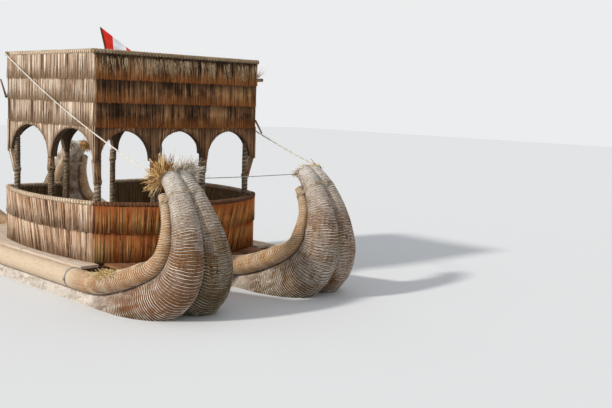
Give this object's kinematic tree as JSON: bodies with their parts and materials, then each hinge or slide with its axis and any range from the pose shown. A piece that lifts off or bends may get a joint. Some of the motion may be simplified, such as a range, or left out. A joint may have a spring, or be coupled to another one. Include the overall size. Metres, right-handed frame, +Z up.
{
  "type": "reed boat",
  "caption": "Twin-hull reed boat: bundled reed hulls with raised ends, plank deck, arched mat cabin with an open upper deck, stays and a small flag.",
  "frame": {"origin": "middle of the boat on its centre plane, at the lowest line of the hull bundles", "axes": "+X towards the bow, +Y to port, +Z up"},
  "size_m": [8.331, 3.9684, 4.5034],
  "materials": {
    "reed_hull": "weathered, cord wound",
    "reed_roll": "dry reed, cord wound",
    "mat_upper": "weathered upright reeds",
    "mat_lower": "upright reeds",
    "reed_edge": "pale bound reed",
    "post_reed": "reed wrapped pole",
    "board_grey": "weathered boards",
    "timber_brown": "rough timber",
    "reed_brush": "frayed cut reed",
    "rope": "twisted rope",
    "flag_cloth": "plain striped cloth"
  },
  "bodies": {
    "root": {"hull_port_outer": "reed_hull", "hull_port_inner": "reed_hull", "hull_starboard_outer": "reed_hull", "hull_starboard_inner": "reed_hull", "roll_port_outer": "reed_roll", "roll_starboard_outer": "reed_roll", "rolls_inner_fore": "reed_roll", "rolls_inner_aft": "reed_roll", "cross_beams": "timber_brown", "deck_cabin": "timber_brown", "deck_front": "timber_brown", "deck_aft": "board_grey", "side_plank_port": "board_grey", "side_plank_starboard": "board_grey", "lower_wall_front": "mat_lower", "lower_wall_port": "mat_lower", "lower_wall_starboard": "mat_lower", "lower_wall_rear_port": "mat_lower", "lower_wall_rear_starboard": "mat_lower", "rim_front": "reed_edge", "rims_side": "reed_edge", "rims_rear": "reed_edge", "posts_corner": "post_reed", "posts_front": "post_reed", "posts_rear": "post_reed", "posts_side": "post_reed", "upper_wall_front": "mat_upper", "upper_wall_rear": "mat_upper", "upper_wall_port": "mat_upper", "upper_wall_starboard": "mat_upper", "arch_bands_ends": "post_reed", "arch_bands_sides": "post_reed", "top_rail": "reed_edge", "upper_joists": "timber_brown", "upper_floor": "timber_brown", "prow_lashings": "rope", "stern_lashings": "rope", "prow_brushes": "reed_brush", "stern_brushes": "reed_brush", "stay_port": "rope", "stay_starboard": "rope", "flag_pole": "timber_brown", "flag": "flag_cloth"}
  },
  "joints": []
}
